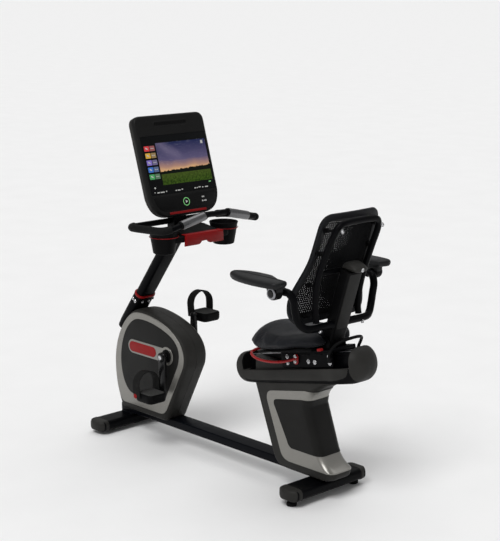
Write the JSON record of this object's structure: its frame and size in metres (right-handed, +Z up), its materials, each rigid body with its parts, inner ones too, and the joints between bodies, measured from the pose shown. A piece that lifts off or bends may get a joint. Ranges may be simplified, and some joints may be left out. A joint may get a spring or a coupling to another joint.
{
  "type": "recumbent exercise bike",
  "caption": "Gym recumbent bike: belt-driven crank housing, mast with touch console and handlebar ring, and a sliding seat with mesh back and flip-up armrests on an inclined beam.",
  "frame": {"origin": "on the floor, at the middle of the bike's box", "axes": "+Z up, +X towards the rear behind the rider, -Y to the rider's left"},
  "size_m": [1.513, 0.682, 1.4502],
  "materials": {
    "black_paint": "satin black powder coat",
    "charcoal_plastic": "fine textured charcoal moulding",
    "silver_trim": "satin warm silver paint",
    "black_plastic": "textured black moulding",
    "rubber": "matt black rubber",
    "seat_vinyl": "fine grained black vinyl",
    "back_mesh": "open black diamond web, moulded",
    "steel": "satin steel",
    "gloss_black": "gloss black",
    "screen_glass": "glossy display cover",
    "button_black": "gloss key with a green ring",
    "red_plastic": "satin red",
    "red_paint": "gloss red paint"
  },
  "bodies": {
    "frame": {"rear_stabiliser": "black_paint", "front_stabiliser": "black_paint", "main_rail": "black_paint", "front_cap_left": "charcoal_plastic", "front_cap_right": "charcoal_plastic", "rear_cap_left": "charcoal_plastic", "rear_cap_right": "charcoal_plastic", "front_pad_left": "rubber", "front_pad_right": "rubber", "drive_frame": "black_paint", "mast": "black_paint", "mast_ring": "red_plastic", "housing_left": "charcoal_plastic", "housing_right": "charcoal_plastic", "housing_trim_left": "silver_trim", "housing_trim_right": "silver_trim", "crank_bearing_left": "steel", "crank_bearing_right": "steel", "drive_belt": "rubber", "seat_post": "black_paint", "pedestal_shroud": "charcoal_plastic", "pedestal_trim_left": "silver_trim", "pedestal_trim_right": "silver_trim", "beam_cover": "charcoal_plastic", "seat_rail": "black_paint", "console_front": "charcoal_plastic", "console_back": "charcoal_plastic", "screen_glass": "screen_glass", "console_bracket": "black_paint", "accessory_tray": "black_plastic", "tray_lip": "red_plastic", "handlebar": "black_plastic", "sensor_grip_left": "steel", "sensor_grip_right": "steel"},
    "wheel_left": {"transport_wheel_left": "rubber"},
    "wheel_right": {"transport_wheel_right": "rubber"},
    "foot_left": {"levelling_foot_left": "rubber"},
    "foot_right": {"levelling_foot_right": "rubber"},
    "crankset": {"crank_axle": "steel", "drive_pulley": "black_plastic", "crank_left": "gloss_black", "crank_right": "gloss_black"},
    "pedal_left": {"pedal_left": "black_plastic", "pedal_strap_left": "rubber"},
    "pedal_right": {"pedal_right": "black_plastic", "pedal_strap_right": "rubber"},
    "rotor": {"generator_rotor": "steel"},
    "button": {"start_button": "button_black"},
    "carriage": {"seat_carriage": "black_paint", "recline_pin": "steel", "seat_cushion": "seat_vinyl"},
    "release": {"release_bar": "red_paint"},
    "lever": {"recline_lever": "black_plastic"},
    "backrest": {"back_column": "black_plastic", "column_hood": "charcoal_plastic", "back_frame": "black_paint", "back_mesh": "back_mesh", "arm_tube": "black_paint"},
    "arm_left": {"armrest_left": "black_plastic"},
    "arm_right": {"armrest_right": "black_plastic"}
  },
  "joints": [
    {"name": "wheel_left_spin", "type": "hinge", "parent": "frame", "child": "wheel_left", "pos_m": [-0.73153, -0.16, 0.028], "axis": [0, 1, 0], "continuous": true},
    {"name": "wheel_right_spin", "type": "hinge", "parent": "frame", "child": "wheel_right", "pos_m": [-0.73153, 0.16, 0.028], "axis": [0, 1, 0], "continuous": true},
    {"name": "foot_left_screw", "type": "slide", "parent": "frame", "child": "foot_left", "axis": [0, 0, 1], "range_m": [-0.012, 0]},
    {"name": "foot_right_screw", "type": "slide", "parent": "frame", "child": "foot_right", "axis": [0, 0, 1], "range_m": [-0.012, 0]},
    {"name": "crank_spin", "type": "hinge", "parent": "frame", "child": "crankset", "pos_m": [-0.36153, 0, 0.404], "axis": [0, 1, 0], "continuous": true},
    {"name": "pedal_left_spin", "type": "hinge", "parent": "crankset", "child": "pedal_left", "pos_m": [-0.36153, -0.158, 0.249], "axis": [0, 1, 0], "continuous": true},
    {"name": "pedal_right_spin", "type": "hinge", "parent": "crankset", "child": "pedal_right", "pos_m": [-0.36153, 0.158, 0.559], "axis": [0, 1, 0], "continuous": true},
    {"name": "rotor_spin", "type": "hinge", "parent": "frame", "child": "rotor", "pos_m": [-0.54253, 0, 0.262], "axis": [0, 1, 0], "continuous": true},
    {"name": "start_press", "type": "slide", "parent": "frame", "child": "button", "axis": [-0.9548, 0, -0.2974], "range_m": [0, 0.0015], "stiffness_N_per_m": 900, "springref_m": -0.0015},
    {"name": "seat_slide", "type": "slide", "parent": "frame", "child": "carriage", "axis": [0.9774, 0, 0.2113], "range_m": [-0.2, 0.03]},
    {"name": "release_lift", "type": "hinge", "parent": "carriage", "child": "release", "pos_m": [0.43347, 0, 0.556], "axis": [0, 1, 0], "range_deg": [0, 8], "stiffness_Nm_per_rad": 3, "springref_deg": -22.92},
    {"name": "lever_pull", "type": "hinge", "parent": "carriage", "child": "lever", "pos_m": [0.61447, 0, 0.588], "axis": [0, 1, 0], "range_deg": [0, 10], "stiffness_Nm_per_rad": 3, "springref_deg": -22.92},
    {"name": "recline", "type": "hinge", "parent": "carriage", "child": "backrest", "pos_m": [0.56167, 0, 0.6458], "axis": [0, 1, 0], "range_deg": [0, 12]},
    {"name": "arm_left_flip", "type": "hinge", "parent": "backrest", "child": "arm_left", "pos_m": [0.52347, -0.281, 0.867], "axis": [0, 1, 0], "range_deg": [0, 70]},
    {"name": "arm_right_flip", "type": "hinge", "parent": "backrest", "child": "arm_right", "pos_m": [0.52347, 0.281, 0.867], "axis": [0, 1, 0], "range_deg": [0, 70]}
  ],
  "couplings": [
    {"joint": "rotor_spin", "follows": "crank_spin", "ratio": 3.5}
  ]
}
